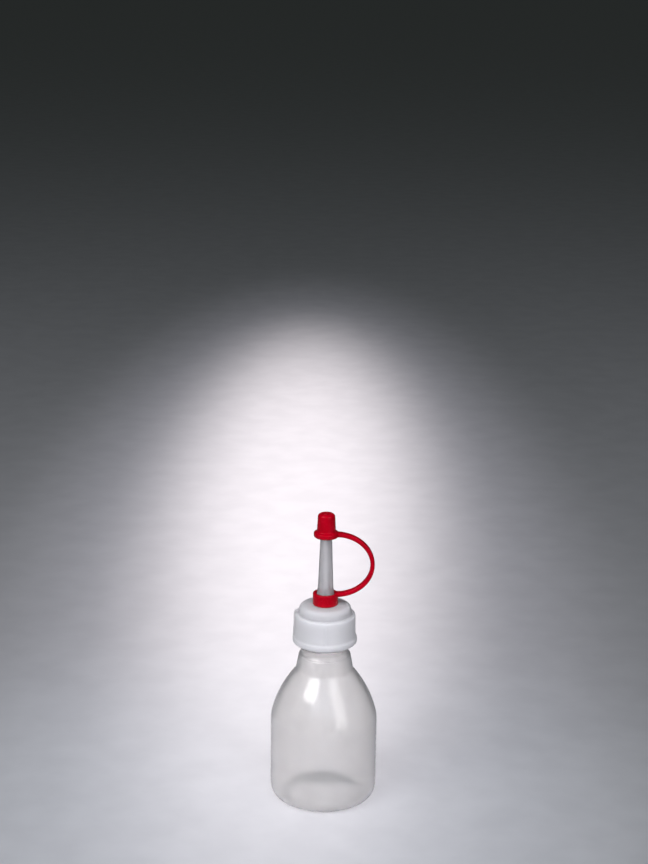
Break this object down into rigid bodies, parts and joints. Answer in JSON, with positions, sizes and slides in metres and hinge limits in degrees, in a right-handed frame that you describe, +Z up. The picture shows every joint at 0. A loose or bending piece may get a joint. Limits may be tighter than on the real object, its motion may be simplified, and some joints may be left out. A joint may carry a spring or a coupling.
{
  "type": "squeeze dropper bottle",
  "caption": "Translucent squeeze dropper bottle with a screw cap, tall tapered spout, and a red captive tip cap on a bowed strap.",
  "frame": {"origin": "centre of the base, on the surface that the bottle stands on", "axes": "+Z up along the bottle's axis; +X towards the side that the strap bows out on; the front faces -Y"},
  "size_m": [0.035, 0.035, 0.0978],
  "materials": {
    "natural_ldpe": "natural translucent polyethylene, smooth blown surface",
    "spout_ldpe": "natural translucent polyethylene, polished moulding",
    "cap_ldpe": "natural whitish translucent polyethylene, satin moulding",
    "red_ldpe": "opaque red polyethylene, semi-gloss moulding"
  },
  "bodies": {
    "bottle_body": {"bottle": "natural_ldpe"},
    "spout_body": {"dropper_insert": "spout_ldpe"},
    "cap_body": {"screw_cap": "cap_ldpe"},
    "closure_ring_body": {"retaining_ring": "red_ldpe", "tether_strap": "red_ldpe"},
    "tip_cap_body": {"tip_cap": "red_ldpe"}
  },
  "joints": [
    {"name": "cap_lift", "type": "slide", "parent": "bottle_body", "child": "spout_body", "axis": [0, 0, 1], "range_m": [0, 0.006]},
    {"name": "cap_turn", "type": "hinge", "parent": "spout_body", "child": "cap_body", "pos_m": [0, 0, 0.06], "axis": [0, 0, 1], "range_deg": [0, 720]},
    {"name": "closure_swivel", "type": "hinge", "parent": "spout_body", "child": "closure_ring_body", "pos_m": [0, 0, 0.069], "axis": [0, 0, 1], "continuous": true},
    {"name": "tip_cap_pull", "type": "slide", "parent": "closure_ring_body", "child": "tip_cap_body", "axis": [0, 0, 1], "range_m": [0, 0.011], "deforming": ["tether_strap"]}
  ],
  "couplings": [
    {"joint": "cap_lift", "follows": "cap_turn", "m_per_rad": 0.00047746}
  ]
}
